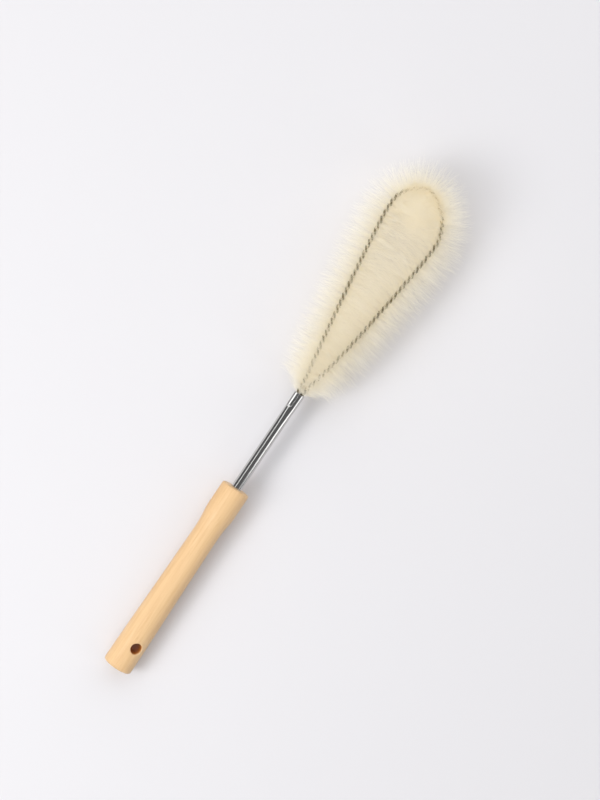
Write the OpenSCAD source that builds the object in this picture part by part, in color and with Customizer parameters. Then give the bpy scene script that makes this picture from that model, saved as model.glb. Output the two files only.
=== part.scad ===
// Long-handled bottle brush: a turned wooden handle, a crimped steel tube, and two wires
// twisted round the filaments and bent into a teardrop loop whose ends the tube holds.
//
// The brush lies on a table at z = 0, on the lower edge of its butt and on the filaments under
// its loop. +X runs from the butt to the crown of the loop, +Y to the left of that, +Z up.
// Every piece is drawn in the brush's own frame, whose x axis is the axis of the handle with
// x = 0 at the butt end, and laid() then puts it down on the table.

/* [Handle] */
// Length of the wooden handle
handle_len = 126; // [100:1:170]
// Diameter at the butt end
butt_d = 17.9; // [16:0.1:24]
// Diameter at the waist, where the handle is thinnest
waist_d = 15.4; // [14:0.1:20]
// Diameter of the collar round the stem
collar_d = 17.8; // [16:0.1:24]
// Distance from the collar's end back to the waist
waist_back = 30; // [24:1:60]
// Length of the collar, from the flare to its end
collar_len = 15; // [6:0.5:20]
// Rounding of the edge at the butt
butt_edge = 1.8; // [0.5:0.1:4]
// Rounding of the edge at the collar
collar_edge = 1.4; // [0.5:0.1:3]

/* [Hanging hole] */
// Diameter of the hole through the handle
hang_d = 7; // [4:0.1:9]
// Distance from the butt end to the middle of the hole
hang_x = 16.2; // [12:0.1:30]
// Turn of the hole about the handle, to the right of straight up
hang_roll = 29; // [-90:1:90]

/* [Stem tube] */
// Wall of the tube, whose bore takes both ends of the loop side by side
tube_wall = 0.35; // [0.25:0.05:0.6]
// Clearance between the wires and the bore
bore_fit = 0.165; // [0.1:0.005:0.3]
// Length of the tube between the handle and its mouth
tube_out = 66.3; // [40:0.1:120]
// Length of the tube inside the handle
tube_seat = 35; // [20:1:60]
// Clearance round the tube in the handle, which the glue fills
seat_clear = 0.05; // [0.02:0.01:0.2]

/* [Crimp] */
// Length of the two dents that grip the wires, from the mouth
crimp_len = 11; // [6:0.5:20]
// Radius of the punch that pressed the dents
punch_r = 2; // [1:0.1:2.5]
// Depth of each dent
crimp_depth = 1; // [0.3:0.1:1.2]
// Turn of the dents about the tube, to the left of straight up
crimp_roll = 22; // [-45:1:45]

/* [Twisted wire] */
// Diameter of each of the two wires
wire_d = 1.25; // [0.8:0.05:1.3]
// Thickness of the filaments nipped between the wires
nip = 0.17; // [0.05:0.01:0.2]
// Length of one full turn of the twist
twist_pitch = 7.7; // [5:0.1:15]
// Length of each end of the loop inside the tube
wire_in_tube = 25; // [15:1:60]
// Gap between the two ends of the loop inside the tube
ends_gap = 0.13; // [0.05:0.01:0.3]

/* [Loop] */
// Length of the loop from the tube's mouth to the crown
loop_len = 139.7; // [110:0.1:200]
// Offset of the crown to the left of the brush's axis
crown_left = 2.8; // [-4:0.1:6]
// Distance from the crown back to the left shoulder
left_shoulder_back = 16.7; // [12:0.1:26]
// Offset of the left shoulder from the axis
left_shoulder_out = 18; // [14:0.1:26]
// Distance from the crown back to the right shoulder
right_shoulder_back = 24.7; // [16:0.1:30]
// Offset of the right shoulder from the axis
right_shoulder_out = 17.6; // [14:0.1:26]
// Distance from the mouth to the middle of the left leg
left_leg_x = 60; // [50:1:66]
// Offset of the middle of the left leg from the axis
left_leg_out = 10.4; // [8:0.1:14]
// Angle at which the left leg leaves the axis there
left_leg_splay = 8.5; // [4:0.5:12]
// Distance from the mouth to the middle of the right leg
right_leg_x = 62; // [54:1:66]
// Offset of the middle of the right leg from the axis
right_leg_out = 12; // [8:0.1:14]
// Angle at which the right leg leaves the axis there
right_leg_splay = 7; // [4:0.5:12]

/* [Filaments] */
// Reach of the filaments from the middle of the twisted wire
reach = 20.5; // [12:0.5:30]
// Distance from the tube's mouth to the first filaments
first_filament = 0.5; // [0.3:0.1:5]
// Room left round the twisted wire in the solid that stands for the filaments
wire_room = 0.3; // [0.2:0.05:0.5]
// How far the filaments under the middle of the loop are pressed down by the brush's weight
press = 2; // [0:0.1:5]

/* [Hidden] */

butt_r = butt_d / 2;
waist_r = waist_d / 2;
collar_r = collar_d / 2;
wire_r = wire_d / 2;
helix_r = wire_r + nip / 2;
cord_r = helix_r + wire_r;
leg_offset = cord_r + ends_gap / 2;
bore_r = leg_offset + cord_r + bore_fit;
tube_r = bore_r + tube_wall;
mouth_x = handle_len + tube_out;
collar_x = handle_len - collar_len;
waist_x = handle_len - waist_back;
past = 1; // how far a cut runs past the face it opens

// ---- How the brush lies -------------------------------------------------------------------
// Its tilt sets the loop's middle at the height of the pressed filaments.
rest_x = mouth_x + left_leg_x;
tilt = asin((reach - press - butt_r) / rest_x);
lift = butt_r * cos(tilt) - butt_edge * sin(tilt);
x_low = -(butt_r - butt_edge) * sin(tilt);
x_high = (mouth_x + loop_len) * cos(tilt) + reach;
origin = [(x_low + x_high) / 2, (left_shoulder_out - right_shoulder_out) / 2];

module laid()
    translate([-origin.x, -origin.y, lift])
        rotate([0, -tilt, 0])
            children();

// ---- Curves -------------------------------------------------------------------------------
function bezier(a, b, c, d, t) =
    pow(1 - t, 3) * a + 3 * pow(1 - t, 2) * t * b + 3 * (1 - t) * t * t * c + pow(t, 3) * d;

// Points along a curve, without its first one
function curve(a, b, c, d, steps) = [for (i = [1:steps]) bezier(a, b, c, d, i / steps)];

function arc(centre, r, from, to, steps) =
    [for (i = [0:steps]) let (a = from + (to - from) * i / steps) centre + r * [cos(a), sin(a)]];

// ---- The loop of twisted wire -------------------------------------------------------------
// A knot is its place past the mouth, its heading, and the lengths of the curve's handles
// before and after it.
function knot(x, y, heading, before, after) =
    [[mouth_x + x, y], [cos(heading), sin(heading)], before, after];

KNOTS = [
    knot(0, leg_offset, 0, 0, 7),
    knot(left_leg_x, left_leg_out, left_leg_splay, 42, 24),
    knot(loop_len - left_shoulder_back, left_shoulder_out, 0, 12, 7.5),
    knot(loop_len, crown_left, -90, 7.5, 6.5),
    knot(loop_len - right_shoulder_back, -right_shoulder_out, -180, 14, 9),
    knot(right_leg_x, -right_leg_out, -180 - right_leg_splay, 22, 46),
    knot(0, -leg_offset, -180, 7, 0),
];
CURVE_STEPS = 24;

function between(a, b) =
    curve(a[0], a[0] + a[3] * a[1], b[0] - b[2] * b[1], b[0], CURVE_STEPS);

MIDDLE = [
    [mouth_x - wire_in_tube, leg_offset],
    [mouth_x, leg_offset],
    for (i = [1:len(KNOTS) - 1]) each between(KNOTS[i - 1], KNOTS[i]),
    [mouth_x - wire_in_tube, -leg_offset],
];

// Distance along the middle line to each of its points
RUN = [for (i = 0, s = 0; i < len(MIDDLE);
            s = s + (i + 1 < len(MIDDLE) ? norm(MIDDLE[i + 1] - MIDDLE[i]) : 0), i = i + 1) s];
WIRE_LEN = RUN[len(RUN) - 1];
X_BY_RUN = [for (i = [0:len(RUN) - 1]) [RUN[i], MIDDLE[i].x]];
Y_BY_RUN = [for (i = [0:len(RUN) - 1]) [RUN[i], MIDDLE[i].y]];

function middle(s) = [lookup(s, X_BY_RUN), lookup(s, Y_BY_RUN), 0];

function unit(v) = v / norm(v);

function heading(s) = unit(middle(s + 0.5) - middle(s - 0.5));

// A direction square to the wire at s, turned by a from its left towards straight up
function square_to(s, a) = let (h = heading(s)) cos(a) * [-h.y, h.x, 0] + [0, 0, sin(a)];

// One wire's centre: a left-hand helix about the middle line
function on_wire(s, phase) = middle(s) + helix_r * square_to(s, phase - 360 * s / twist_pitch);

// ---- Sweeps -------------------------------------------------------------------------------
function ring(centre, u, v, r, sides) =
    [for (i = [0:sides - 1]) centre + r * (cos(360 * i / sides) * u + sin(360 * i / sides) * v)];

// A closed solid through rings of equally many points
module swept(rings) {
    sides = len(rings[0]);
    last = len(rings) - 1;
    walls = [for (j = [0:last - 1], i = [0:sides - 1])
        let (a = j * sides + i, b = j * sides + (i + 1) % sides)
            each [[a, b + sides, b], [a, a + sides, b + sides]]];
    ends = [[for (i = [0:sides - 1]) i], [for (i = [sides - 1:-1:0]) last * sides + i]];
    polyhedron([for (r = rings) each r], concat(walls, ends), convexity = 20);
}

// ---- Handle -------------------------------------------------------------------------------
// A stretch of outline between two [radius, x] points that leaves and arrives along the axis.
// Each pull is a share of the stretch: small ones give a near-straight taper, large ones an S.
function blend(a, b, pull_a, pull_b, steps) =
    let (run = [0, b.y - a.y]) curve(a, a + pull_a * run, b - pull_b * run, b, steps);

// Half of the handle's outline, as [radius, x]
function handle_outline() = concat(
    [[0, 0]],
    arc([butt_r - butt_edge, butt_edge], butt_edge, -90, 0, 6),
    blend([butt_r, butt_edge], [waist_r, waist_x], 0.15, 0.2, 10),
    blend([waist_r, waist_x], [collar_r, collar_x], 0.4, 0.35, 12),
    arc([collar_r - collar_edge, handle_len - collar_edge], collar_edge, 0, 90, 5),
    [[0, handle_len]]);

module handle()
    color([0.93, 0.78, 0.57])
        laid()
            difference() {
                rotate([0, 90, 0])
                    rotate_extrude($fn = 96)
                        polygon(handle_outline());
                translate([hang_x, 0, 0])
                    rotate([hang_roll, 0, 0])
                        cylinder(h = butt_d + 2 * past, d = hang_d, center = true, $fn = 48);
                translate([handle_len - tube_seat, 0, 0])
                    rotate([0, 90, 0])
                        cylinder(h = tube_seat + past, r = tube_r + seat_clear, $fn = 48);
            }

// ---- Stem tube ----------------------------------------------------------------------------
// The punch's axis runs beside the tube, so that its side presses the wall in by the depth.
punch_x = mouth_x - crimp_len + punch_r;
punch_out = tube_r - crimp_depth + punch_r;

// The space that the two punches take, or with a wall added the space that their dents take
module dents(extra)
    for (side = [0, 180])
        rotate([side - crimp_roll, 0, 0])
            translate([punch_x, 0, punch_out]) {
                sphere(r = punch_r + extra, $fn = 48);
                rotate([0, 90, 0])
                    cylinder(h = crimp_len + past, r = punch_r + extra, $fn = 48);
            }

module along_tube(r, extra)
    translate([handle_len - tube_seat - extra, 0, 0])
        rotate([0, 90, 0])
            cylinder(h = tube_seat + tube_out + 2 * extra, r = r, $fn = 64);

module stem_tube()
    color([0.80, 0.81, 0.83])
        laid()
            difference() {
                along_tube(tube_r, 0);
                dents(0);
                difference() {
                    along_tube(bore_r, past);
                    dents(tube_wall);
                }
            }

// ---- Twisted wires ------------------------------------------------------------------------
RINGS_PER_TURN = 8;
WIRE_SIDES = 6;
wire_rings = ceil(RINGS_PER_TURN * WIRE_LEN / twist_pitch);

function wire_ring(s, phase) =
    let (a = phase - 360 * s / twist_pitch,
         along = unit(on_wire(s + 0.1, phase) - on_wire(s - 0.1, phase)),
         out = square_to(s, a),
         u = unit(out - (out * along) * along))
        ring(on_wire(s, phase), u, cross(along, u), wire_r, WIRE_SIDES);

module wire(phase)
    color([0.62, 0.60, 0.57])
        laid()
            swept([for (i = [0:wire_rings]) wire_ring(i * WIRE_LEN / wire_rings, phase)]);

module wire_strand_a() wire(0);

module wire_strand_b() wire(180);

// ---- Filaments ----------------------------------------------------------------------------
// The filaments stand all round the wire and meet across the loop, so one solid of their
// outer shape stands for them, flat where they rest on the table.
SLICES = 9;
TUNNEL_STEP = 2;
TUNNEL_SIDES = 8;
THROAT_LEN = 11; // along each leg, until they are two tunnel radii apart
tunnel_r = (cord_r + wire_room) / cos(180 / TUNNEL_SIDES);
first_x = mouth_x + first_filament;
head_wide = 4 * reach + left_shoulder_out + right_shoulder_out;

// The distance along one leg to the start of a slice, or to its middle at i + 0.5
function slice_at(i) = wire_in_tube + i * (WIRE_LEN / 2 - wire_in_tube) / SLICES;

// The filaments' outer shape, in slices from leg to leg
module filament_outline()
    for (i = [0:SLICES - 1])
        hull()
            for (j = [0:0.5:1], s = slice_at(i + j), at = [s, WIRE_LEN - s])
                translate(middle(at))
                    sphere(r = reach, $fn = 24);

// The space round the twisted wire, from where its two legs are clear of each other
module tunnel()
    swept([for (s = [wire_in_tube + THROAT_LEN:TUNNEL_STEP:WIRE_LEN - wire_in_tube - THROAT_LEN + 1])
        ring(middle(s), square_to(s, 0), [0, 0, 1], tunnel_r, TUNNEL_SIDES)]);

// The space round the two legs where they leave the tube side by side
module throat()
    hull()
        for (s = [0, THROAT_LEN + TUNNEL_STEP], at = [wire_in_tube + s, WIRE_LEN - wire_in_tube - s])
            translate(middle(at))
                sphere(r = 1.1 * tunnel_r, $fn = 16);

module bristles()
    color([0.95, 0.91, 0.80])
        difference() {
            laid()
                difference() {
                    filament_outline();
                    translate([first_x - 2 * reach, 0, 0])
                        cube([4 * reach, head_wide, head_wide], center = true);
                    tunnel();
                    throat();
                }
            translate([0, 0, -2 * reach])
                cube([2 * x_high, head_wide, 4 * reach], center = true);
        }

handle();
stem_tube();
wire_strand_a();
wire_strand_b();
bristles();
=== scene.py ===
"""Looks of a long-handled loop brush for bottles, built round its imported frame.

The brush lies on a table. A turned and lacquered wooden handle holds a bright steel tube, whose
crimped mouth grips a loop of two wires twisted round soft nylon filaments.
"""

from __future__ import annotations

import logging
import math
from dataclasses import dataclass, field
from enum import Enum
from typing import Any, Sequence, Union

import bmesh
import bpy
import numpy as np
from bmesh.types import BMEdge, BMesh, BMFace, BMVert
from bpy.types import Material, Mesh, Node, NodeSocket, Object
from mathutils import Matrix, Vector

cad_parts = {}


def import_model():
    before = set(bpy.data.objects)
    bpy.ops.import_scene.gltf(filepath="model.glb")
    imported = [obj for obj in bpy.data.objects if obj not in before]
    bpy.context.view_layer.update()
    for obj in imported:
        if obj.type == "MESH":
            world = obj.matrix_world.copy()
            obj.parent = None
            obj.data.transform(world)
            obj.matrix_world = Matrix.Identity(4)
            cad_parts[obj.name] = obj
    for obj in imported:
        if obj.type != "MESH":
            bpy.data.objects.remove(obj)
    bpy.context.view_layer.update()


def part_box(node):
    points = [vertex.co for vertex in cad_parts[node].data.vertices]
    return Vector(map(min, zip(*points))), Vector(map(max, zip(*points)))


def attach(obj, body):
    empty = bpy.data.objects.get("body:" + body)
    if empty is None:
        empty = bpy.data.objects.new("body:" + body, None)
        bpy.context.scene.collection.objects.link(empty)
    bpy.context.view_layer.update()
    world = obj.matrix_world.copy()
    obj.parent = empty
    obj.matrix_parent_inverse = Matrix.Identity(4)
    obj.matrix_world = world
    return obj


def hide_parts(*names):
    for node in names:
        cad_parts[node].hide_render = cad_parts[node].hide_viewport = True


log = logging.getLogger("bottle_brush")

MM = 0.001
DOUBLES = 1e-4
TINY = 1e-6
BODY = "root"
UP = (0, 0, 1)
Array = np.ndarray
Point = tuple[float, float]
Place = Union[Point, Array]


class Slot(Enum):
    """The record's material slots, by the part that wears each."""

    HANDLE = "handle"
    STEM = "stem"
    WIRE = "wire"
    BRISTLES = "bristles"


class Strand(Enum):
    """The two wires of the twisted pair: the node each stands for and its place in the twist."""

    FIRST = ("wire_strand_a", 0.0)
    SECOND = ("wire_strand_b", 180.0)

    @property
    def node(self) -> str:
        """Name of the CAD node that the wire stands for."""
        return self.value[0]

    @property
    def phase(self) -> float:
        """Angle of the wire round the twist's middle, in degrees."""
        return self.value[1]


# ---- Sizes, in millimetres along the brush's own axis


@dataclass(frozen=True)
class HandleSizes:
    """The turned handle: its outline, its hanging hole and the bore for the tube."""

    length: float = 126.0
    butt_d: float = 17.9
    waist_d: float = 15.4
    collar_d: float = 17.8
    waist_back: float = 30.0
    collar_len: float = 15.0
    butt_edge: float = 1.8
    collar_edge: float = 1.4
    hang_d: float = 7.0
    hang_x: float = 16.2
    hang_roll: float = 29.0
    hang_edge: float = 0.45
    bore_edge: float = 0.25
    taper_pulls: Point = (0.15, 0.2)
    flare_pulls: Point = (0.4, 0.35)

    @property
    def butt_r(self) -> float:
        """Radius at the butt."""
        return self.butt_d / 2

    @property
    def waist_x(self) -> float:
        """Place of the narrowest section."""
        return self.length - self.waist_back

    @property
    def collar_x(self) -> float:
        """Place where the collar's straight part begins."""
        return self.length - self.collar_len


@dataclass(frozen=True)
class WireSizes:
    """The twisted pair of wires."""

    wire_d: float = 1.25
    nip: float = 0.17
    pitch: float = 7.7
    in_tube: float = 25.0
    ends_gap: float = 0.13

    @property
    def wire_r(self) -> float:
        """Radius of one wire."""
        return self.wire_d / 2

    @property
    def helix_r(self) -> float:
        """Distance of a wire's centre from the middle of the twist."""
        return self.wire_r + self.nip / 2

    @property
    def cord_r(self) -> float:
        """Outside radius of the twisted pair."""
        return self.helix_r + self.wire_r

    @property
    def leg_offset(self) -> float:
        """Distance of each end of the loop from the brush's axis inside the tube."""
        return self.cord_r + self.ends_gap / 2


@dataclass(frozen=True)
class TubeSizes:
    """The steel tube and the dents that close its mouth on the wires."""

    bore_r: float
    wall: float = 0.35
    out: float = 66.3
    seat: float = 35.0
    seat_clear: float = 0.05
    crimp_len: float = 11.0
    crimp_roll: float = 22.0
    crimp_spread: float = 0.17
    dent_round: float = 0.32
    dent_ramp: float = 2.8
    floor_turn: float = -6.0
    floor_depth: float = 0.78
    wall_turn: float = 15.0
    wall_depth: float = 0.86
    sunk: float = 0.38
    sunk_turn: float = -22.0
    sunk_half: float = 62.0
    sunk_lead: float = 14.0

    @property
    def r(self) -> float:
        """Outside radius."""
        return self.bore_r + self.wall


@dataclass(frozen=True)
class LoopSizes:
    """The loop's outline past the tube's mouth, left and right as the brush points away."""

    length: float = 139.7
    crown_left: float = 2.8
    left_shoulder_back: float = 16.7
    left_shoulder_out: float = 18.0
    right_shoulder_back: float = 24.7
    right_shoulder_out: float = 17.6
    left_leg_x: float = 60.0
    left_leg_out: float = 10.4
    left_leg_splay: float = 8.5
    right_leg_x: float = 62.0
    right_leg_out: float = 12.0
    right_leg_splay: float = 7.0


@dataclass(frozen=True)
class BristleSizes:
    """The filaments nipped between the wires."""

    reach: float = 20.5
    first: float = 0.5
    press: float = 2.0
    thickness: float = 0.057
    thinner_tip: float = 0.45
    count: int = 13200
    fan: float = 42.0
    open_angle: float = 27.0
    lean: float = 11.0
    root_lean: float = 13.0
    root_most: float = 45.0
    bow: float = 0.1
    uneven: float = 0.42
    uneven_inside: float = 0.1
    longer_inside: float = 0.26
    wide_from: float = 35.0
    wide_after: float = 45.0
    short_start: float = 0.3
    full_after: float = 18.0
    swept: float = 0.8
    crowded: float = 42.0
    crowd_open: float = 60.0
    crowd_fan: float = 30.0
    crowd_most: float = 20.0
    crowd_lift: float = 0.9
    crowd_low: float = -0.5
    crowd_more: float = 0.7
    crowd_at: float = -5.0
    crowd_before: float = 13.0
    crowd_after: float = 25.0


@dataclass(frozen=True)
class BrushSizes:
    """Every size of the brush, and the places that follow from more than one piece."""

    handle: HandleSizes = HandleSizes()
    wire: WireSizes = WireSizes()
    loop: LoopSizes = LoopSizes()
    bristles: BristleSizes = BristleSizes()
    bore_fit: float = 0.165

    @property
    def tube(self) -> TubeSizes:
        """The tube, whose bore takes the loop's two ends side by side."""
        return TubeSizes(self.wire.leg_offset + self.wire.cord_r + self.bore_fit)

    @property
    def mouth_x(self) -> float:
        """Place of the tube's mouth."""
        return self.handle.length + self.tube.out


# ---- How the brush lies


class Lie:
    """Where the lying brush is: from millimetres along its axis to the frame's metres."""

    def __init__(self, sizes: BrushSizes) -> None:
        """Works out the brush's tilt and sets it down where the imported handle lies.

        Args:
            sizes: The brush's sizes.
        """
        handle, bristles = sizes.handle, sizes.bristles
        rest_x = sizes.mouth_x + sizes.loop.left_leg_x
        self.tilt = math.asin((bristles.reach - bristles.press - handle.butt_r) / rest_x)
        low, high = (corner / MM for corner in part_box("handle"))
        inner = handle.butt_r - handle.butt_edge
        back = low.x + inner * math.sin(self.tilt)
        lift = low.z + inner * math.cos(self.tilt) + handle.butt_edge * (1 - math.sin(self.tilt))
        place = Matrix.Translation((back, (low.y + high.y) / 2, lift))
        turn = Matrix.Rotation(-self.tilt, 4, "Y")
        self.in_mm = place @ turn
        self.matrix = Matrix.Scale(MM, 4) @ self.in_mm

    def points(self, places: Array) -> Array:
        """Takes points from the brush's own axes to the frame, still in millimetres.

        Args:
            places: Points, with x, y and z along the last axis.

        Returns:
            The points as the brush lies.
        """
        matrix = np.array(self.in_mm)
        return places @ matrix[:3, :3].T + matrix[:3, 3]


# ---- Curves


def smooth_curve(start: Place, lead: Place, trail: Place, end: Place, steps: int) -> list[Array]:
    """Points along a Bezier curve, without its first one.

    Args:
        start: First point.
        lead: Control point that sets the direction out of the start.
        trail: Control point that sets the direction into the end.
        end: Last point.
        steps: Number of points.

    Returns:
        The points.
    """
    a, b, c, d = (np.array(point, float) for point in (start, lead, trail, end))
    shares = [step / steps for step in range(1, steps + 1)]
    return [(1 - t) ** 3 * a + 3 * (1 - t) ** 2 * t * b + 3 * (1 - t) * t**2 * c + t**3 * d
            for t in shares]


def arc(centre: Point, radius: float, first: float, last: float, steps: int) -> list[Point]:
    """Points along a circular arc.

    Args:
        centre: Middle of the arc.
        radius: Its radius.
        first: Angle at which it starts, in degrees.
        last: Angle at which it ends.
        steps: Number of stretches between points.

    Returns:
        The points, ends included.
    """
    turns = [math.radians(first + (last - first) * step / steps) for step in range(steps + 1)]
    return [(centre[0] + radius * math.cos(a), centre[1] + radius * math.sin(a)) for a in turns]


def unit(vectors: Array) -> Array:
    """The vectors along the last axis, each made one long."""
    return vectors / np.linalg.norm(vectors, axis=-1, keepdims=True)


@dataclass(frozen=True)
class Knot:
    """A point of the loop: place, heading in degrees, and pull of the curve on each side."""

    x: float
    y: float
    heading: float
    before: float
    after: float

    def place(self, along: float = 0.0) -> Array:
        """The point, or one that lies a distance along its heading."""
        turn = math.radians(self.heading)
        return np.array([self.x + along * math.cos(turn), self.y + along * math.sin(turn)])


class LoopLine:
    """The middle line of the twisted wire, from one end in the tube to the other."""

    STEPS = 24
    PROBE = 0.5

    def __init__(self, sizes: BrushSizes) -> None:
        """Lays the line through its knots.

        Args:
            sizes: The brush's sizes.
        """
        loop, offset = sizes.loop, sizes.wire.leg_offset
        self.wire = sizes.wire
        shoulder, off_shoulder = (loop.length - back for back in
                                  (loop.left_shoulder_back, loop.right_shoulder_back))
        knots = [
            Knot(0, offset, 0, before=0, after=7),
            Knot(loop.left_leg_x, loop.left_leg_out, loop.left_leg_splay, before=42, after=24),
            Knot(shoulder, loop.left_shoulder_out, 0, before=12, after=7.5),
            Knot(loop.length, loop.crown_left, -90, before=7.5, after=6.5),
            Knot(off_shoulder, -loop.right_shoulder_out, -180, before=14, after=9),
            Knot(loop.right_leg_x, -loop.right_leg_out, -180 - loop.right_leg_splay,
                 before=22, after=46),
            Knot(0, -offset, -180, before=7, after=0),
        ]
        line = [np.array([-sizes.wire.in_tube, offset]), knots[0].place()]
        for near, far in zip(knots, knots[1:]):
            line += smooth_curve(near.place(), near.place(near.after), far.place(-far.before),
                                 far.place(), self.STEPS)
        line.append(np.array([-sizes.wire.in_tube, -offset]))
        self.line = np.array(line) + [sizes.mouth_x, 0]
        steps = np.linalg.norm(np.diff(self.line, axis=0), axis=1)
        self.run = np.concatenate([[0], np.cumsum(steps)])

    @property
    def length(self) -> float:
        """Length of the whole line."""
        return float(self.run[-1])

    def middle(self, s: Array) -> Array:
        """Points of the line at the distances s along it."""
        x, y = (np.interp(s, self.run, self.line[:, axis]) for axis in (0, 1))
        return np.stack([x, y, np.zeros_like(x)], -1)

    def heading(self, s: Array) -> Array:
        """Unit directions of the line at the distances s along it."""
        return unit(self.middle(s + self.PROBE) - self.middle(s - self.PROBE))

    def square_to(self, s: Array, angle: Array) -> Array:
        """Directions square to the line, each turned from its left towards straight up.

        Args:
            s: Distances along the line.
            angle: Turn of each direction, in degrees.

        Returns:
            Unit vectors.
        """
        ahead, turn = self.heading(s), np.radians(angle)
        left = np.stack([-ahead[..., 1], ahead[..., 0], np.zeros_like(turn)], -1)
        return np.cos(turn)[..., None] * left + np.sin(turn)[..., None] * np.array(UP)

    def twist(self, s: Array) -> Array:
        """Angle of the first wire round the line at the distances s, in degrees."""
        return -360 * s / self.wire.pitch

    def strand(self, s: Array, phase: float) -> Array:
        """Points along the centre of one wire of the twisted pair.

        Args:
            s: Distances along the line.
            phase: The wire's angle in the twist.

        Returns:
            The wire's centre, a left-hand helix about the line.
        """
        return self.middle(s) + self.wire.helix_r * self.square_to(s, phase + self.twist(s))


# ---- Shader maths

Number = Union[float, "Value"]
Colour = tuple[float, float, float, float]


class Value:
    """A number that changes over a surface: a socket that Python's operators work on."""

    def __init__(self, graph: "Graph", socket: NodeSocket) -> None:
        """Wraps an output socket of a node in the graph."""
        self.graph = graph
        self.socket = socket

    def __add__(self, other: Number) -> "Value":
        """The sum."""
        return self.graph.maths("ADD", self, other)

    def __sub__(self, other: Number) -> "Value":
        """The difference."""
        return self.graph.maths("SUBTRACT", self, other)

    def __rsub__(self, other: Number) -> "Value":
        """The difference, with this value taken away."""
        return self.graph.maths("SUBTRACT", other, self)

    def __mul__(self, other: Number) -> "Value":
        """The product."""
        return self.graph.maths("MULTIPLY", self, other)

    __radd__ = __add__
    __rmul__ = __mul__


class Graph:
    """The shader nodes of one material."""

    def __init__(self, name: str) -> None:
        """Makes a material with an empty graph.

        Args:
            name: The material's name.
        """
        self.material = bpy.data.materials.new(name)
        self.material.use_nodes = True
        self.tree = self.material.node_tree
        self.tree.nodes.clear()

    def node(self, kind: str, settings: dict[str, Any] | None = None,
             inputs: dict[str | int, Any] | None = None) -> Node:
        """Adds any node.

        Args:
            kind: The node's type.
            settings: Its properties, set first.
            inputs: A value or a link for each of its sockets, by name or number.

        Returns:
            The new node.
        """
        node = self.tree.nodes.new(kind)
        for key, setting in (settings or {}).items():
            setattr(node, key, setting)
        for key, entry in (inputs or {}).items():
            source = entry.socket if isinstance(entry, Value) else entry
            if isinstance(source, NodeSocket):
                self.tree.links.new(source, node.inputs[key])
            else:
                node.inputs[key].default_value = source
        return node

    def maths(self, operation: str, *terms: Number) -> Value:
        """Adds a Math node.

        Args:
            operation: What it does.
            *terms: Its numbers or links, in order.

        Returns:
            Its result.
        """
        node = self.node("ShaderNodeMath", {"operation": operation}, dict(enumerate(terms)))
        return Value(self, node.outputs[0])

    def span(self, value: Value, low: float, high: float) -> Value:
        """Goes smoothly from 0 to 1 as a value crosses a range.

        Args:
            value: The value.
            low: Start of its range.
            high: End of its range.

        Returns:
            The result, held at 0 and at 1 outside the range.
        """
        inputs = {"Value": value, "From Min": low, "From Max": high}
        node = self.node("ShaderNodeMapRange", {"interpolation_type": "SMOOTHSTEP"}, inputs)
        return Value(self, node.outputs["Result"])

    def blend(self, factor: Value, low: Colour | NodeSocket, high: Colour) -> NodeSocket:
        """Mixes two colours.

        Args:
            factor: Share of the second colour.
            low: Colour or link where the factor is 0.
            high: Colour where the factor is 1.

        Returns:
            The mixed colour's socket.
        """
        settings = {"data_type": "RGBA", "blend_type": "MIX"}
        node = self.node("ShaderNodeMix", settings, {"Factor": factor, 6: low, 7: high})
        return node.outputs[2]

    def noise(self, pattern: "Pattern", tilt: float = 0.0) -> Value:
        """Adds a noise texture in the object's own coordinates, which are the frame's.

        Args:
            pattern: Its fineness and stretch.
            tilt: Angle about Y of the direction that it is stretched along, in radians.

        Returns:
            Its value, about 0.5 on average.
        """
        place = self.node("ShaderNodeTexCoord").outputs["Object"]
        if pattern.stretch is not None:
            turned = self.node("ShaderNodeMapping", None, {"Vector": place, "Rotation": (0, tilt, 0)})
            inputs = {"Vector": turned.outputs[0], "Scale": pattern.stretch}
            place = self.node("ShaderNodeMapping", None, inputs).outputs[0]
        inputs = {"Vector": place, "Scale": pattern.scale, "Detail": pattern.detail,
                  "Distortion": pattern.stir}
        node = self.node("ShaderNodeTexNoise", {"noise_dimensions": "3D"}, inputs)
        return Value(self, node.outputs[0])

    def attribute(self, name: str) -> Value:
        """Reads one of the mesh's own numbers."""
        return Value(self, self.node("ShaderNodeAttribute", {"attribute_name": name}).outputs["Fac"])

    def bump(self, height: Value, distance: float, strength: float,
             under: NodeSocket | None = None) -> NodeSocket:
        """Turns a height into a normal.

        Args:
            height: The height, in units of the distance.
            distance: That unit, in metres.
            strength: Share of the bump that shows.
            under: Normal of a coarser or finer bump that it lies on.

        Returns:
            The normal's socket.
        """
        inputs = {"Height": height, "Distance": distance, "Strength": strength}
        if under is not None:
            inputs["Normal"] = under
        return self.node("ShaderNodeBump", None, inputs).outputs[0]

    def principled(self, inputs: dict[str, Any]) -> Node:
        """Adds a Principled shader with a value or a link for each socket named."""
        return self.node("ShaderNodeBsdfPrincipled", None, inputs)

    def end(self, shader: Node) -> Material:
        """Sends a shader to the material's output and returns the material."""
        self.node("ShaderNodeOutputMaterial", None, {"Surface": shader.outputs[0]})
        return self.material


def paint(red: int, green: int, blue: int) -> Colour:
    """Makes a shader's colour.

    Args:
        red: Its red as shown, from 0 to 255.
        green: Its green.
        blue: Its blue.

    Returns:
        The colour, opaque.
    """
    def linear(level: int) -> float:
        """Brightness of a shown level, from 0 to 1."""
        share = level / 255
        return share / 12.92 if share <= 0.04045 else ((share + 0.055) / 1.055) ** 2.4
    return (linear(red), linear(green), linear(blue), 1.0)


# ---- Finishes


@dataclass(frozen=True)
class Pattern:
    """A noise: spots for each metre, finer layers, how far it is stirred, and its stretch."""

    scale: float
    detail: float
    stir: float = 0.0
    stretch: tuple[float, float, float] | None = None


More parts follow.
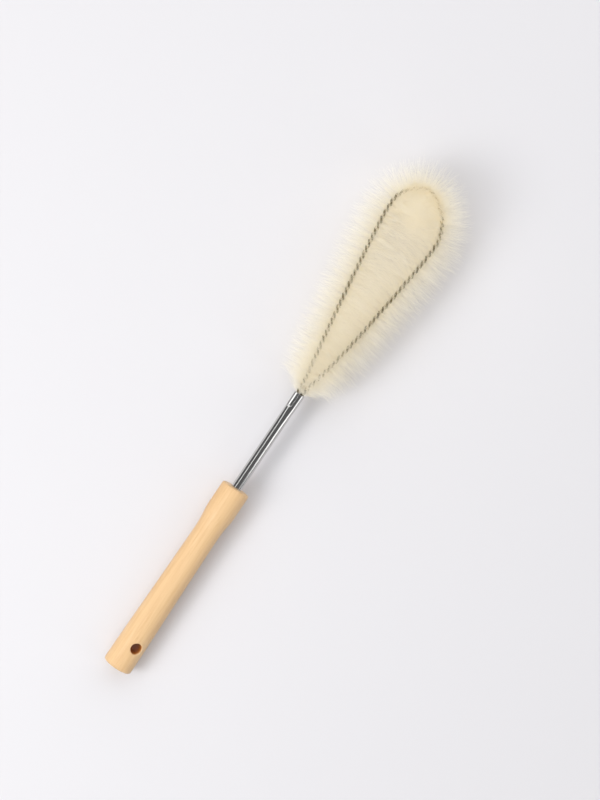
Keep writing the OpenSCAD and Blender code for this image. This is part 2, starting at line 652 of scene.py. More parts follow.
@dataclass(frozen=True)
class LacqueredWood:
    """Pale close-grained wood under a clear satin lacquer, its grain along the handle."""

    tilt: float
    pale: Colour = paint(234, 197, 149)
    deep: Colour = paint(219, 178, 127)
    pore: Colour = paint(194, 147, 93)
    # The hanging hole's wall: unlacquered wood, painted darker still for the shade deep inside the
    # hole.
    bare_and_shaded: Colour = paint(188, 116, 48)
    fibres: Pattern = Pattern(6, 5, 0.3, (9, 160, 160))
    figure: Pattern = Pattern(1.6, 3, 0.6, (2.2, 60, 24))
    ticks: Pattern = Pattern(4, 2, stretch=(30, 420, 420))
    waves: Pattern = Pattern(1.2, 1, stretch=(30, 70, 70))
    figure_share: float = 0.62
    streak_span: Point = (0.34, 0.66)
    pore_span: Point = (0.66, 0.78)
    pore_share: float = 0.35
    fibre_height: float = 0.5
    grain_depth: float = 0.00002
    wave_depth: float = 0.00045

    def material(self) -> Material:
        """Builds the material.

        Returns:
            The material.
        """
        graph = Graph("lacquered_wood")
        fibres, figure, ticks, waves = (graph.noise(pattern, self.tilt) for pattern in
                                        (self.fibres, self.figure, self.ticks, self.waves))
        mixed = figure * self.figure_share + fibres * (1 - self.figure_share)
        pores = graph.span(ticks, *self.pore_span)
        colour = graph.blend(graph.span(mixed, *self.streak_span), self.pale, self.deep)
        colour = graph.blend(pores * self.pore_share, colour, self.pore)
        # Colours the hole's wall as bare wood with painted shade.
        colour = graph.blend(graph.attribute("bare_and_shaded"), colour, self.bare_and_shaded)
        grain = graph.bump(fibres * self.fibre_height - pores, self.grain_depth, 0.35)
        return graph.end(graph.principled({
            "Base Color": colour, "Roughness": 0.46 + fibres * 0.12, "IOR": 1.45,
            "Coat Weight": 0.25, "Coat Roughness": 0.28, "Coat IOR": 1.45,
            "Normal": graph.bump(waves, self.wave_depth, 0.5, grain)}))


@dataclass(frozen=True)
class BrightSteel:
    """Polished stainless steel with faint drawing lines along the tube."""

    tilt: float
    colour: Colour = (0.59, 0.582, 0.573, 1.0)
    lines: Pattern = Pattern(3, 3, stretch=(40, 1500, 1500))
    smears: Pattern = Pattern(160, 3, 0.5)
    smear_span: Point = (0.5, 0.75)
    line_depth: float = 0.000004

    def material(self) -> Material:
        """Builds the material.

        Returns:
            The material.
        """
        graph = Graph("bright_steel")
        lines = graph.noise(self.lines, self.tilt)
        smears = graph.span(graph.noise(self.smears), *self.smear_span)
        return graph.end(graph.principled({
            "Base Color": self.colour, "Metallic": 1.0,
            "Roughness": 0.1 + lines * 0.06 + smears * 0.05,
            "Normal": graph.bump(lines, self.line_depth, 0.4)}))


@dataclass(frozen=True)
class DrawnWire:
    """Plain drawn steel wire, a little duller than the tube."""

    bright: Colour = paint(154, 145, 118)
    dull: Colour = paint(101, 91, 63)
    film: Pattern = Pattern(420, 3, 0.4)
    film_span: Point = (0.38, 0.66)
    marks: Pattern = Pattern(2600, 2)
    mark_depth: float = 0.00001

    def material(self) -> Material:
        """Builds the material.

        Returns:
            The material.
        """
        graph = Graph("drawn_wire")
        film = graph.span(graph.noise(self.film), *self.film_span)
        marks = graph.noise(self.marks)
        return graph.end(graph.principled({
            "Base Color": graph.blend(film, self.bright, self.dull), "Metallic": 1.0,
            "Roughness": 0.26 + film * 0.16,
            "Normal": graph.bump(marks, self.mark_depth, 0.5)}))


@dataclass(frozen=True)
class CreamNylon:
    """Fine unpigmented nylon: cream, and lit through by the light behind it."""

    pale: Colour = (0.997, 0.983, 0.94, 1.0)
    warm: Colour = (0.996, 0.971, 0.902, 1.0)
    lit_through: Colour = (0.997, 0.981, 0.93, 1.0)
    through: float = 0.5
    root_share: float = 0.3
    root_span: Point = (0.0, 0.6)
    warm_span: Point = (0.1, 0.9)

    def material(self) -> Material:
        """Builds the material.

        Returns:
            The material.
        """
        graph = Graph("cream_nylon")
        root = 1 - graph.span(graph.attribute("along"), *self.root_span)
        warmth = graph.attribute("tint") * (1 - self.root_share) + root * self.root_share
        surface = graph.principled({
            "Base Color": graph.blend(graph.span(warmth, *self.warm_span), self.pale, self.warm),
            "Roughness": 0.4, "IOR": 1.53, "Specular IOR Level": 0.02})
        glow = graph.node("ShaderNodeBsdfTranslucent", None, {"Color": self.lit_through})
        return graph.end(graph.node("ShaderNodeMixShader", None, {
            0: self.through, 1: surface.outputs[0], 2: glow.outputs[0]}))


@dataclass(frozen=True)
class TablePaper:
    """A plain pale tabletop."""

    colour: Colour = (0.742, 0.732, 0.752, 1.0)

    def material(self) -> Material:
        """Builds the material.

        Returns:
            The material.
        """
        graph = Graph("table_paper")
        return graph.end(graph.principled({
            "Base Color": self.colour, "Roughness": 0.9, "Specular IOR Level": 0.1}))


# ---- Pieces


def add_object(name: str, data: bpy.types.ID) -> Object:
    """Puts a new object in the scene.

    Args:
        name: Its name.
        data: Its mesh, curve, lamp or camera.

    Returns:
        The object.
    """
    added = bpy.data.objects.new(name, data)
    bpy.context.scene.collection.objects.link(added)
    return added


def applied(maker: Object) -> Mesh:
    """Takes the mesh that an object's curve or modifiers make, and removes the object.

    Args:
        maker: The object.

    Returns:
        The mesh, with everything applied.
    """
    seen = maker.evaluated_get(bpy.context.evaluated_depsgraph_get())
    mesh = bpy.data.meshes.new_from_object(seen)
    bpy.data.objects.remove(maker)
    return mesh


def new_piece(name: str, mesh: Mesh, material: Material, smooth: bool = True) -> Object:
    """Shows a finished mesh as a piece with its material, at the frame's origin.

    Args:
        name: The piece's name.
        mesh: Its mesh, in place, in metres.
        material: Its material.
        smooth: Whether its shading runs smoothly over its edges.

    Returns:
        The new object.
    """
    mesh.name = name
    mesh.materials.clear()
    mesh.materials.append(material)
    mesh.polygons.foreach_set("use_smooth", [smooth] * len(mesh.polygons))
    mesh.update()
    return add_object(name, mesh)


def verts_in(parts: Sequence[BMVert | BMEdge | BMFace]) -> list[BMVert]:
    """The vertices among the parts that an operator made."""
    return [part for part in parts if isinstance(part, BMVert)]


def mesh_from(bm: BMesh, matrix: Matrix) -> Mesh:
    """Closes a bmesh into a mesh with its faces outwards.

    Args:
        bm: The bmesh, which is freed.
        matrix: What takes it to its place in the frame, in metres.

    Returns:
        The mesh.
    """
    bmesh.ops.remove_doubles(bm, verts=bm.verts, dist=DOUBLES)
    bmesh.ops.transform(bm, matrix=matrix, verts=bm.verts)
    bmesh.ops.recalc_face_normals(bm, faces=bm.faces)
    mesh = bpy.data.meshes.new("piece")
    bm.to_mesh(mesh)
    bm.free()
    return mesh


def turned(outline: Sequence[Point], steps: int, closed: bool) -> BMesh:
    """Spins an outline about the X axis.

    Args:
        outline: Points, each a place along the axis and a radius.
        steps: Number of facets round the axis.
        closed: Whether the last point joins the first.

    Returns:
        The turned form.
    """
    bm = bmesh.new()
    verts = [bm.verts.new((x, 0, r)) for x, r in outline]
    edges = [bm.edges.new(pair) for pair in zip(verts, verts[1:])]
    if closed:
        edges.append(bm.edges.new((verts[-1], verts[0])))
    bmesh.ops.spin(bm, geom=verts + edges, cent=(0, 0, 0), axis=(1, 0, 0), dvec=(0, 0, 0),
                   angle=math.tau, steps=steps, use_merge=True, use_normal_flip=False,
                   use_duplicate=False)
    bmesh.ops.remove_doubles(bm, verts=bm.verts, dist=DOUBLES)
    return bm


@dataclass
class Handle:
    """The turned wooden handle."""

    sizes: BrushSizes
    lie: Lie
    facets: int = 96
    ring_gap: float = 0.8
    edge_steps: int = 8
    bore_rings: int = 8
    bore_edge_steps: int = 3
    bottom_ring: float = 0.6
    face_inset: float = 0.6
    end_inset: float = 0.4
    rim_steps: int = 4
    rim_margin: float = 1.2
    skirt_cuts: int = 3
    wall_cuts: int = 10

    def outline(self) -> list[Point]:
        """Draws half the handle's section.

        Returns:
            Points from the bore's bottom round the outside to the butt.
        """
        h, tube = self.sizes.handle, self.sizes.tube
        bore_r = tube.r + tube.seat_clear
        bottom = h.length - tube.seat
        bore = [(bottom, 0.0), (bottom, bore_r * self.bottom_ring), (bottom, bore_r)]
        deep = [(bottom + tube.seat * step / self.bore_rings, bore_r)
                for step in range(1, self.bore_rings)]
        mouth = arc((h.length - h.bore_edge, bore_r + h.bore_edge), h.bore_edge, -90, 0,
                    self.bore_edge_steps)
        face_r = h.collar_d / 2 - h.collar_edge
        face = [(h.length, bore_r + self.face_inset), (h.length, face_r - self.face_inset / 2)]
        collar = arc((h.length - h.collar_edge, face_r), h.collar_edge, 0, 90, self.edge_steps)
        flank = self._flank()
        inner = h.butt_r - h.butt_edge
        butt = arc((h.butt_edge, inner), h.butt_edge, 90, 180, self.edge_steps)
        end = [(0.0, inner - self.end_inset), (0.0, inner / 2), (0.0, 0.0)]
        return bore + deep + mouth + face + collar + flank + butt[1:] + end

    def _flank(self) -> list[Point]:
        """Draws the outside between the collar's edge and the butt's edge.

        Returns:
            Its points, from the collar to the butt.
        """
        h = self.sizes.handle
        butt, waist = (h.butt_edge, h.butt_r), (h.waist_x, h.waist_d / 2)
        collar = (h.collar_x, h.collar_d / 2)
        taper = self._blend(butt, waist, h.taper_pulls)
        flare = self._blend(waist, collar, h.flare_pulls)
        straight = h.length - h.collar_edge - h.collar_x
        count = round(straight / self.ring_gap)
        level = [(h.collar_x + straight * step / count, collar[1]) for step in range(1, count)]
        return [tuple(point) for point in reversed([butt, *taper, *flare, *level])]

    def _blend(self, near: Point, far: Point, pulls: Point) -> list[Array]:
        """Draws a part of the outline that leaves and arrives along the axis.

        Args:
            near: Its first point.
            far: Its last point.
            pulls: How long each end keeps its direction, as a share of the part's length.

        Returns:
            Its points, without the first.
        """
        run = far[0] - near[0]
        lead = (near[0] + pulls[0] * run, near[1])
        trail = (far[0] - pulls[1] * run, far[1])
        return smooth_curve(near, lead, trail, far, round(run / self.ring_gap))

    def radius(self, x: float) -> float:
        """Outside radius of the handle at a place along it."""
        places, radii = zip(*reversed(self._flank()))
        return float(np.interp(x, places, radii))

    def _drill(self, bm: BMesh) -> None:
        """Cuts the hanging hole, with its two rims rounded over, and marks its wall for a darker
        colour: bare wood with painted shade.

        Args:
            bm: The turned handle.
        """
        h = self.sizes.handle
        roll = math.radians(h.hang_roll)
        up = Vector((0, -math.sin(roll), math.cos(roll)))
        bare_and_shaded = bm.verts.layers.float.new("bare_and_shaded")
        inner_rims = [self._rim(bm, up * side) for side in (1, -1)]
        wall = bmesh.ops.bridge_loops(bm, edges=inner_rims[0] + inner_rims[1])
        added = bmesh.ops.subdivide_edges(bm, edges=wall["edges"], cuts=self.wall_cuts,
                                          use_grid_fill=True)
        # The wall's rows take the darker colour of bare wood with painted shade.
        for vert in verts_in(added["geom_inner"]):
            vert[bare_and_shaded] = 1.0

    def _rim(self, bm: BMesh, up: Vector) -> list[BMEdge]:
        """Opens the outside on one side and lays the hole's rounded rim into it.

        Args:
            bm: The turned handle.
            up: Direction of that end of the hole.

        Returns:
            The edges of the rim's innermost ring.
        """
        h = self.sizes.handle
        hole_r, edge = h.hang_d / 2, h.hang_edge
        across = Vector((1, 0, 0)).cross(up)
        reach = hole_r + edge + self.rim_margin

        def offsets(point: Vector) -> tuple[float, float, float]:
            """Places a point along the handle, across the hole and along the hole."""
            return point.x - h.hang_x, point.dot(across), point.dot(up)

        def within(face: BMFace) -> bool:
            """Tells whether the hole's rim takes a face away.

            Args:
                face: A face of the turned handle.

            Returns:
                True where the rim's opening covers it.
            """
            along, side, height = offsets(face.calc_center_median())
            return abs(along) < reach and abs(side) < reach and height > hole_r

        def place(point: Vector, rho: float, depth: float) -> Vector:
            """Moves a point onto a ring round the hole.

            Args:
                point: The point, whose angle about the hole is kept.
                rho: The ring's radius.
                depth: How far it lies below the outside.

            Returns:
                The point's new place.
            """
            along, side, _ = offsets(point)
            turn = math.atan2(side, along)
            x, w = h.hang_x + rho * math.cos(turn), rho * math.sin(turn)
            height = math.sqrt(self.radius(x) ** 2 - w**2) - depth
            return Vector((x, 0, 0)) + across * w + up * height

        opened = [face for face in bm.faces if within(face)]
        bmesh.ops.delete(bm, geom=opened, context="FACES")
        border = [e for e in bm.edges if e.is_boundary and offsets(e.verts[0].co)[2] > 0]
        turn = up.to_track_quat("Z", "Y").to_matrix().to_4x4()
        ring = bmesh.ops.create_circle(bm, segments=len(border), radius=hole_r + edge,
                                       matrix=Matrix.Translation((h.hang_x, 0, 0)) @ turn)
        for vert in ring["verts"]:
            vert.co = place(vert.co, hole_r + edge, 0)
        rim = list(dict.fromkeys(e for vert in ring["verts"] for e in vert.link_edges))
        spokes = bmesh.ops.bridge_loops(bm, edges=border + rim)["edges"]
        added = bmesh.ops.subdivide_edges(bm, edges=spokes, cuts=self.skirt_cuts,
                                          use_grid_fill=True)
        for vert in verts_in(added["geom_inner"]):
            flat = Vector((0, vert.co.y, vert.co.z)).normalized() * self.radius(vert.co.x)
            vert.co = Vector((vert.co.x, flat.y, flat.z))
        for step in range(1, self.rim_steps + 1):
            turn_in = math.pi / 2 * step / self.rim_steps
            rho = hole_r + edge * (1 - math.sin(turn_in))
            depth = edge * (1 - math.cos(turn_in))
            grown = bmesh.ops.extrude_edge_only(bm, edges=rim)["geom"]
            for vert in verts_in(grown):
                vert.co = place(vert.co, rho, depth)
            rim = [part for part in grown if isinstance(part, BMEdge) and part.is_boundary]
        return rim

    def build(self, material: Material) -> Object:
        """Builds the handle.

        Args:
            material: The wood's finish.

        Returns:
            The piece.
        """
        bm = turned(self.outline(), self.facets, closed=False)
        self._drill(bm)
        piece = new_piece("wooden_handle", mesh_from(bm, self.lie.matrix), material)
        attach(piece, BODY)
        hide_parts("handle")
        return piece


@dataclass
class StemTube:
    """The steel tube, dented from two sides where it grips the wires."""

    sizes: BrushSizes
    lie: Lie
    facets: int = 168
    fine_gap: float = 0.22
    plain_rings: int = 24
    edge_steps: int = 4
    fine_lead: float = 3.0
    spread_lead: float = 2.0
    grazing: float = 0.2

    def outline(self) -> list[Point]:
        """Draws the wall's section.

        Returns:
            Points along the outside to the rounded mouth and back inside.
        """
        tube, mouth = self.sizes.tube, self.sizes.mouth_x
        start = self.sizes.handle.length - tube.seat
        crimp = mouth - tube.crimp_len - self.fine_lead
        half = tube.wall / 2
        fine = round((mouth - half - crimp) / self.fine_gap)
        places = [start + (crimp - start) * step / self.plain_rings
                  for step in range(self.plain_rings)]
        places += [crimp + (mouth - half - crimp) * step / fine for step in range(fine)]
        lip = arc((mouth - half, tube.r - half), half, 90, -90, self.edge_steps * 2)
        outside = [(x, tube.r) for x in places]
        inside = [(x, tube.bore_r) for x in reversed(places)]
        return outside + lip + inside

    def _dent(self, x: float, turn: float, radius: float) -> float:
        """Radius of a point of the wall after the punches have pressed it in.

        The dent has a flat floor that leans one way and a steeper side, and the wall around it
        is drawn in a little.

        Args:
            x: Place along the axis.
            turn: Angle from the nearer punch, in radians.
            radius: The point's radius before.

        Returns:
            Its radius after.
        """
        tube = self.sizes.tube
        start = self.sizes.mouth_x - tube.crimp_len
        eased = self._ease(x, start, tube.dent_ramp)
        lead = self._ease(x, start - tube.sunk_lead, tube.sunk_lead + tube.dent_ramp)
        off = (math.degrees(turn) - tube.sunk_turn + 90) % 180 - 90
        sunk = tube.sunk * lead * math.cos(math.pi / 2 * min(abs(off) / tube.sunk_half, 1)) ** 2
        base = radius - sunk
        floor = self._plane(turn, tube.floor_turn, radius - tube.floor_depth * eased)
        side = self._plane(turn, tube.wall_turn, radius - tube.wall_depth * eased)
        pressed = -self._lesser(-floor, -side, tube.dent_round)
        return self._lesser(pressed, base, tube.dent_round * eased)

    def _plane(self, turn: float, facing: float, distance: float) -> float:
        """Radius at which a flat face is met.

        Args:
            turn: Angle looked along, in radians.
            facing: Angle that the face looks towards, in degrees.
            distance: The face's distance from the axis.

        Returns:
            The radius, held at a large number where the face is met aslant or never.
        """
        share = math.cos(turn - math.radians(facing))
        return distance / max(share, self.grazing)

    @staticmethod
    def _ease(x: float, start: float, length: float) -> float:
        """Goes smoothly from 0 to 1 over a length."""
        share = min(max((x - start) / length, 0.0), 1.0)
        return share**2 * (3 - 2 * share)

    @staticmethod
    def _lesser(first: float, second: float, rounding: float) -> float:
        """Finds the lesser of two numbers, with the change from one to the other rounded over.

        Args:
            first: One number.
            second: The other.
            rounding: How near the two are where the rounding begins.

        Returns:
            About the lesser.
        """
        if rounding <= 0:
            return min(first, second)
        share = min(max(0.5 + 0.5 * (first - second) / rounding, 0.0), 1.0)
        return first + (second - first) * share - rounding * share * (1 - share)

    def _spread(self, x: float, turn: float) -> float:
        """Finds how far the mouth spreads beside the dents.

        Args:
            x: Place along the axis.
            turn: Angle from the nearer punch, in radians.

        Returns:
            What the radius gains.
        """
        run = self.sizes.tube.crimp_len + self.spread_lead
        eased = self._ease(x, self.sizes.mouth_x - run, run)
        return self.sizes.tube.crimp_spread * eased * math.sin(turn) ** 2

    def _crimp(self, bm: BMesh) -> None:
        """Presses both dents into the wall.

        Args:
            bm: The turned tube.
        """
        roll = math.radians(self.sizes.tube.crimp_roll)
        for vert in bm.verts:
            x, y, z = vert.co
            radius = math.hypot(y, z)
            angle = math.atan2(y, z)
            turn = (angle - roll + math.pi / 2) % math.pi - math.pi / 2
            grown = self._dent(x, turn, radius) + self._spread(x, turn)
            vert.co = (x, y * grown / radius, z * grown / radius)

    def build(self, material: Material) -> Object:
        """Builds the tube.

        Args:
            material: The steel's finish.

        Returns:
            The piece.
        """
        bm = turned(self.outline(), self.facets, closed=True)
        self._crimp(bm)
        piece = new_piece("steel_stem", mesh_from(bm, self.lie.matrix), material)
        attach(piece, BODY)
        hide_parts("stem_tube")
        return piece


@dataclass
class TwistedWire:
    """The two wires twisted round each other and bent into the loop."""

    sizes: BrushSizes
    lie: Lie
    line: LoopLine
    rings_per_turn: int = 24
    round_steps: int = 3

    def build(self, strand: Strand, material: Material) -> Object:
        """Builds one wire.

        Args:
            strand: Which of the two.
            material: The wire's finish.

        Returns:
            The piece.
        """
        wire = self.sizes.wire
        count = round(self.line.length / wire.pitch * self.rings_per_turn) + 1
        s = np.linspace(0, self.line.length, count)
        route = self.lie.points(self.line.strand(s, strand.phase))
        curve = bpy.data.curves.new(strand.node, "CURVE")
        curve.dimensions = "3D"
        curve.bevel_depth = wire.wire_r
        curve.bevel_resolution = self.round_steps
        curve.use_fill_caps = True
        spline = curve.splines.new("POLY")
        spline.points.add(count - 1)
        spline.points.foreach_set("co", np.c_[route, np.ones(count)].ravel())
        bm = bmesh.new()
        bm.from_mesh(applied(add_object(strand.node + "_route", curve)))
        mesh = mesh_from(bm, Matrix.Scale(MM, 4))
        piece = new_piece(f"twisted_wire_{strand.name.lower()}", mesh, material)
        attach(piece, BODY)
        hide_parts(strand.node)
        return piece


@dataclass
class Bristles:
    """The filaments, each nipped at its middle between the wires."""

    sizes: BrushSizes
    lie: Lie
    line: LoopLine
    shares: tuple[float, ...] = (0.0, 0.06, 0.26, 0.5, 0.75, 1.0)
    sides: int = 3
    corner_share: float = 0.58
    shelf: float = 10.0
    floor_ease: float = 4.5
    floor_gap: float = 0.02
    deepest: float = 0.96
    samples: int = 1000
    hub_samples: int = 99
    seed: int = 11
    names: tuple[str, ...] = ("filaments_left_leg", "filaments_left_shoulder", "filaments_crown",
                              "filaments_right_shoulder", "filaments_right_leg")
    rng: np.random.Generator = field(init=False)
    hub: Array = field(init=False)

    def __post_init__(self) -> None:
        """Seeds the one source of chance and finds the middle of the loop."""
        self.rng = np.random.default_rng(self.seed)
        hidden = self.sizes.wire.in_tube
        places = np.linspace(hidden, self.line.length - hidden, self.hub_samples)
        self.hub = self.lie.points(self.line.middle(places)).mean(axis=0)

    @property
    def half_steps(self) -> int:
        """Number of stretches from a filament's middle to its tip."""
        return len(self.shares) - 1

    @property
    def rings(self) -> int:
        """Number of rings along one filament."""
        return 2 * self.half_steps + 1

    def _lengths(self, s: Array, inward: Array) -> Array:
        """Length of one half of each filament.

        Args:
            s: Where along the wire each filament is nipped.
            inward: How far each half points into the loop, from -1 to 1.

        Returns:
            Lengths, shorter beside the tube's mouth, and longer and more even inside the loop
            than outside it.
        """
        size = self.sizes.bristles
        spread = np.where(inward > 0, size.uneven_inside, size.uneven)
        start = np.clip(self._from_mouth(s) / size.full_after, 0, 1)
        grown = size.short_start + (1 - size.short_start) * start * (2 - start)
        wide = np.clip((self._from_mouth(s) - size.wide_from) / size.wide_after, 0, 1)
        grown += size.longer_inside * wide * np.clip(inward, 0, 1) ** 4
        return (size.reach - size.thickness) * grown * (1 - spread * self.rng.random(len(s)))

    def _from_mouth(self, s: Array) -> Array:
        """Distance of each place along the wire from the tube's mouth."""
        return np.minimum(s, self.line.length - s) - self.sizes.wire.in_tube

    def _crowd(self, s: Array) -> Array:
        """Finds how much the crown's bend pushes the filaments up over the wire.

        Args:
            s: Places along the wire.

        Returns:
            Shares, from 0 to 1.
        """
        size = self.sizes.bristles
        offset = s - self.line.length / 2 - size.crowd_at
        return np.exp(-(offset / np.where(offset < 0, size.crowd_before, size.crowd_after)) ** 4)

    def _halves(self, s: Array) -> tuple[Array, Array, Array]:
        """Centre line of each filament, tip to tip.

        Args:
            s: Where along the wire each filament is nipped.

        Returns:
            The filaments' rings, in the frame's millimetres, their tangents, and the wire's
            heading at each.
        """
        size = self.sizes.bristles
        count = len(s)
        root = self.lie.points(self.line.middle(s))
        turn = np.array(self.lie.in_mm)[:3, :3]
        heading = self.line.heading(s) @ turn.T
        onward = np.where(s < self.line.length / 2, 1, -1)[:, None] * heading
        toward = self.hub - root
        toward = unit(toward - np.einsum("ij,ij->i", toward, heading)[:, None] * heading)
        sweep = size.swept * (1 - np.clip(self._from_mouth(s) / size.full_after, 0, 1))
        crowd = self._crowd(s)
        root_lean = size.root_lean + (size.crowded - size.root_lean) * crowd
        lay = self.line.twist(s) + 90
        rings = np.empty((count, self.rings, 3))
        rings[:, self.half_steps] = root
        for side in (1, -1):
            fan = self.rng.normal(0, size.fan + size.crowd_fan * crowd)
            opened = size.open_angle + size.crowd_open * crowd
            nipped = np.clip(fan, -opened, opened)
            lean = np.tan(np.radians(self.rng.normal(0, size.lean, count)))[:, None] * heading
            most = size.root_most + size.crowd_most * crowd
            along = np.tan(np.radians(np.clip(self.rng.normal(0, root_lean), -most, most)))
            away = side * self.line.square_to(s, lay + nipped) @ turn.T
            upward = np.clip(away[:, 2] - size.crowd_low, 0, 1)
            away[:, 2] += size.crowd_lift * crowd * upward
            away += along[:, None] * heading
            spread = side * self.line.square_to(s, lay + fan) @ turn.T
            end = unit(spread + lean + sweep[:, None] * onward)
            length = self._lengths(s, np.einsum("ij,ij->i", end, toward))
            end += self.rng.normal(0, size.bow, (count, 3))
            self._grow(rings, root, (away, end), length, side)
        return rings, unit(np.gradient(rings, axis=1)), heading

    def _grow(self, rings: Array, root: Array, courses: tuple[Array, Array],
              length: Array, side: int) -> None:
        """Grows one half of each filament, bending it out where it meets the table.

        Args:
            rings: The filaments' rings, filled in on this side of the middle.
            root: Where each filament leaves the wire.
            courses: Its direction there and at its tip.
            length: Its length on this side.
            side: 1 or -1, for the half.
        """
        floor = self.sizes.bristles.thickness
        away, end = courses
        flat = end.copy()
        flat[:, 2] = 0
        flat /= np.maximum(np.linalg.norm(flat, axis=1, keepdims=True), TINY)
        place = root.copy()
        for ring, (near, far) in enumerate(zip(self.shares, self.shares[1:]), 1):
            step = length * (far - near)
            turned_by = 1 - (1 - near) ** 2
            course = unit(away * (1 - turned_by) + end * turned_by)
            room = np.maximum(place[:, 2] - floor, 0)
            drop = -course[:, 2] * np.clip(room / self.floor_ease, 0, 1)
            drop = np.minimum(drop, self.deepest * room / step)
            down = course[:, 2] < 0
            bent = flat * np.sqrt(1 - drop**2)[:, None]
            bent[:, 2] = -drop
            course = np.where(down[:, None], self._ease(course, bent, room), course)
            place = place + course * step[:, None]
            place[:, 2] = np.maximum(place[:, 2], floor)
            rings[:, self.half_steps + side * ring] = place

    def _ease(self, free: Array, bent: Array, room: Array) -> Array:
        """Goes from the free direction to the bent one as the table comes near.

        Args:
            free: Directions far from the table.
            bent: Directions beside it.
            room: Height left under each.

        Returns:
            Unit directions.
        """
        share = np.clip(room / (self.floor_ease * 2), 0, 1)[:, None]
        return unit(bent * (1 - share) + free * share)

    def _template(self, count: int) -> Mesh:
        """Thin closed prisms, one for each filament, told apart by their height.

        Args:
            count: Number of filaments.

        Returns:
            A mesh whose x is the ring, whose angle about X is the corner, and whose height in
            shelves is the filament.
        """
        bm = bmesh.new()
        turn = Matrix.Rotation(math.pi / 2, 4, "Y")
        bmesh.ops.create_cone(bm, cap_ends=True, cap_tris=False, segments=self.sides, radius1=1,
                              radius2=1, depth=self.rings - 1, matrix=turn)
        long = [e for e in bm.edges if abs(e.verts[0].co.x - e.verts[1].co.x) > 1]
        bmesh.ops.subdivide_edges(bm, edges=long, cuts=self.rings - 2, use_grid_fill=True)
        bmesh.ops.recalc_face_normals(bm, faces=bm.faces)
        one = bpy.data.meshes.new("filament")
        bm.to_mesh(one)
        bm.free()
        holder = add_object("filament", one)
        array = holder.modifiers.new("many", "ARRAY")
        array.count = count
        array.use_relative_offset = False
        array.use_constant_offset = True
        array.constant_offset_displace = (0, 0, self.shelf)
        return applied(holder)

    def _stretch(self, name: str, s: Array, material: Material) -> Object:
        """Builds the filaments of one stretch of the loop.

        Args:
            name: The piece's name.
            s: Where along the wire its filaments are nipped.
            material: The nylon's finish.

        Returns:
            The piece.
        """
        rings, tangent, heading = self._halves(s)
        mesh = self._template(len(s))
        flat = np.empty(len(mesh.vertices) * 3, np.float32)
        mesh.vertices.foreach_get("co", flat)
        x, y, z = flat.reshape(-1, 3).astype(float).T
        which = np.rint(z / self.shelf).astype(int)
        ring = np.rint(x + (self.rings - 1) / 2).astype(int)
        corner = np.arctan2(z - which * self.shelf, y)
        along = tangent[which, ring]
        side = unit(np.cross(along, heading[which]))
        size = self.sizes.bristles
        share = np.array(self.shares)[np.abs(ring - self.half_steps)]
        radius = size.thickness * self.corner_share * (1 - size.thinner_tip * share**2)[:, None]
        place = rings[which, ring] + radius * (np.cos(corner)[:, None] * side
                                               + np.sin(corner)[:, None] * np.cross(along, side))
        place[:, 2] = np.maximum(place[:, 2], self.floor_gap)
        mesh.vertices.foreach_set("co", (place * MM).astype(np.float32).ravel())
        tints = self.rng.random(len(s))
        self._write(mesh, "tint", tints[which])
        self._write(mesh, "along", share)
        piece = new_piece(name, mesh, material, smooth=False)
        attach(piece, BODY)
        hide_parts("bristles")
        return piece

    @staticmethod
    def _write(mesh: Mesh, name: str, numbers: Array) -> None:
        """Keeps one number for each vertex under a name that the material reads."""
        layer = mesh.attributes.new(name, "FLOAT", "POINT")
        layer.data.foreach_set("value", numbers.astype(np.float32))

    def build(self, material: Material) -> list[Object]:
        """Builds all the filaments.

        Args:
            material: The nylon's finish.

        Returns:
            One piece for each stretch of the loop.
        """
        size = self.sizes.bristles
        ends = self.sizes.wire.in_tube + size.first
        places = np.linspace(ends, self.line.length - ends, self.samples)
        packed = np.cumsum(1 + size.crowd_more * self._crowd(places))
        packed = (packed - packed[0]) / (packed[-1] - packed[0])
        share = (np.arange(size.count) + self.rng.random(size.count)) / size.count
        s = np.interp(share, packed, places)
        parts = np.array_split(s, len(self.names))
        return [self._stretch(name, part, material) for name, part in zip(self.names, parts)]


# ---- Studio


@dataclass(frozen=True)
class Lamp:
    """A soft rectangular lamp that faces the brush.

    Its bearing is the direction to it in the camera's view, in degrees from the right towards
    the top, and its lean is its angle from straight up. Its size is its width across that
    direction and its length along it. A level of 1 looks white.
    """

    name: str
    bearing: float
    lean: float
    distance: float
    size: tuple[float, float]
    level: float
    mirrored: bool = True

    def hang(self, aim: Vector, roll: float) -> None:
        """Hangs the lamp.

        Args:
            aim: Point that it faces.
            roll: Camera's turn about the upright axis, in degrees.
        """
        data = bpy.data.lights.new(self.name, "AREA")
        data.shape = "RECTANGLE"
        data.size, data.size_y = self.size
        data.energy = self.level * math.pi * data.size * data.size_y
        lamp = add_object(self.name, data)
        turn = math.radians(self.bearing + roll)
        tip = math.radians(self.lean)
        flat = math.sin(tip)
        away = Vector((flat * math.cos(turn), flat * math.sin(turn), math.cos(tip)))
        lamp.location = aim + away * self.distance
        lamp.rotation_mode = "QUATERNION"
        lamp.rotation_quaternion = away.to_track_quat("Z", "Y")
        lamp.visible_glossy = self.mirrored


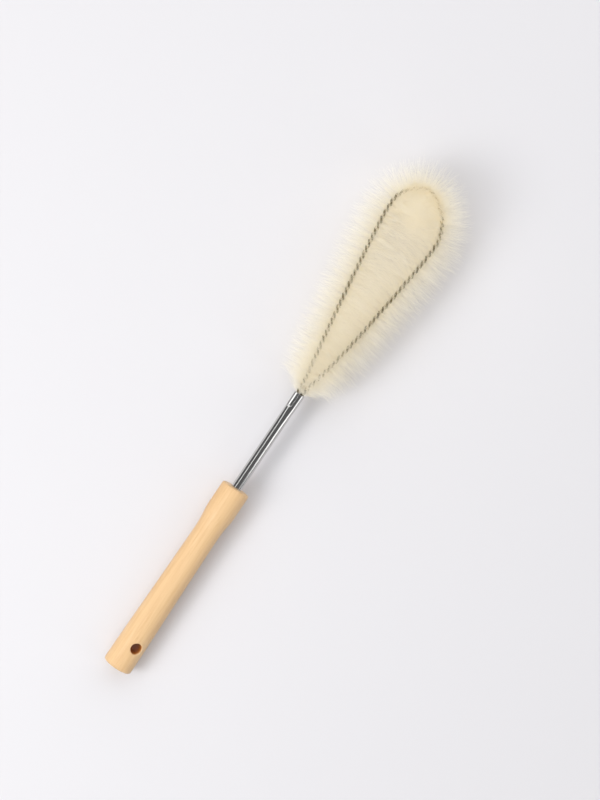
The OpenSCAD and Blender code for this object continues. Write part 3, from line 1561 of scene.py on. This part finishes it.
@dataclass(frozen=True)
class Studio:
    """A plain pale table, soft light from the upper left, and a camera straight above."""

    width: float = 0.4675
    height: float = 1.1
    aim: Point = (0.0134, -0.0023)
    aim_z: float = 0.012
    roll: float = -56.08
    sensor: float = 36.0
    table: float = 3.0
    bounces: int = 48
    room_colour: Colour = (0.98, 0.98, 1.0, 1.0)
    room_level: float = 0.155
    lamps: tuple[Lamp, ...] = (
        Lamp("window", bearing=198, lean=46, distance=1.2, size=(0.56, 0.56), level=5.6),
        Lamp("far_panel", bearing=66, lean=52, distance=1.6, size=(3.2, 1.3), level=1.3),
        Lamp("near_panel", bearing=226, lean=52, distance=1.6, size=(3.2, 1.3), level=0.7),
        Lamp("right_panel", bearing=-34, lean=58, distance=1.5, size=(0.42, 0.8), level=2.0),
        Lamp("left_strip", bearing=146, lean=32, distance=1.5, size=(0.7, 0.2), level=2.25),
        Lamp("overhead", bearing=146, lean=12, distance=2.0, size=(2.5, 2.5), level=1.0,
             mirrored=False),
    )

    def camera(self) -> None:
        """Puts the camera straight above the brush, which crosses its view at a slant."""
        data = bpy.data.cameras.new("camera")
        data.sensor_width = self.sensor
        data.lens = self.sensor * self.height / self.width
        camera = add_object("camera", data)
        camera.location = (*self.aim, self.aim_z + self.height)
        camera.rotation_euler = (0, 0, math.radians(self.roll))
        bpy.context.scene.camera = camera

    def floor(self) -> None:
        """Lays the tabletop."""
        bm = bmesh.new()
        bmesh.ops.create_grid(bm, x_segments=8, y_segments=8, size=self.table)
        mesh = bpy.data.meshes.new("table")
        bm.to_mesh(mesh)
        bm.free()
        table = new_piece("table", mesh, TablePaper().material())

    def world(self) -> None:
        """Fills the room with a little even light."""
        world = bpy.data.worlds.new("room")
        world.use_nodes = True
        back = world.node_tree.nodes["Background"]
        back.inputs["Color"].default_value = self.room_colour
        back.inputs["Strength"].default_value = self.room_level
        bpy.context.scene.world = world

    def build(self) -> None:
        """Sets the whole studio up."""
        self.camera()
        self.floor()
        for lamp in self.lamps:
            lamp.hang(Vector((*self.aim, self.aim_z)), self.roll)
        self.world()
        scene = bpy.context.scene
        scene.view_settings.view_transform = "Standard"
        scene.cycles.max_bounces = self.bounces
        scene.cycles.diffuse_bounces = self.bounces
        scene.cycles.transmission_bounces = self.bounces
        scene.cycles.glossy_bounces = self.bounces


def main() -> None:
    """Builds the studio and every piece of the brush."""
    logging.basicConfig(level=logging.INFO, format="%(name)s: %(message)s")
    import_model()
    sizes = BrushSizes()
    lie = Lie(sizes)
    line = LoopLine(sizes)
    Studio().build()
    pieces = [
        Handle(sizes, lie).build(LacqueredWood(lie.tilt).material()),
        StemTube(sizes, lie).build(BrightSteel(lie.tilt).material()),
    ]
    steel = DrawnWire().material()
    wires = TwistedWire(sizes, lie, line)
    pieces += [wires.build(strand, steel) for strand in Strand]
    pieces += Bristles(sizes, lie, line).build(CreamNylon().material())
    for piece in pieces:
        faces = sum(len(face.vertices) - 2 for face in piece.data.polygons)
        log.info("%s: %d triangles", piece.name, faces)


if __name__ == "__main__":
    main()
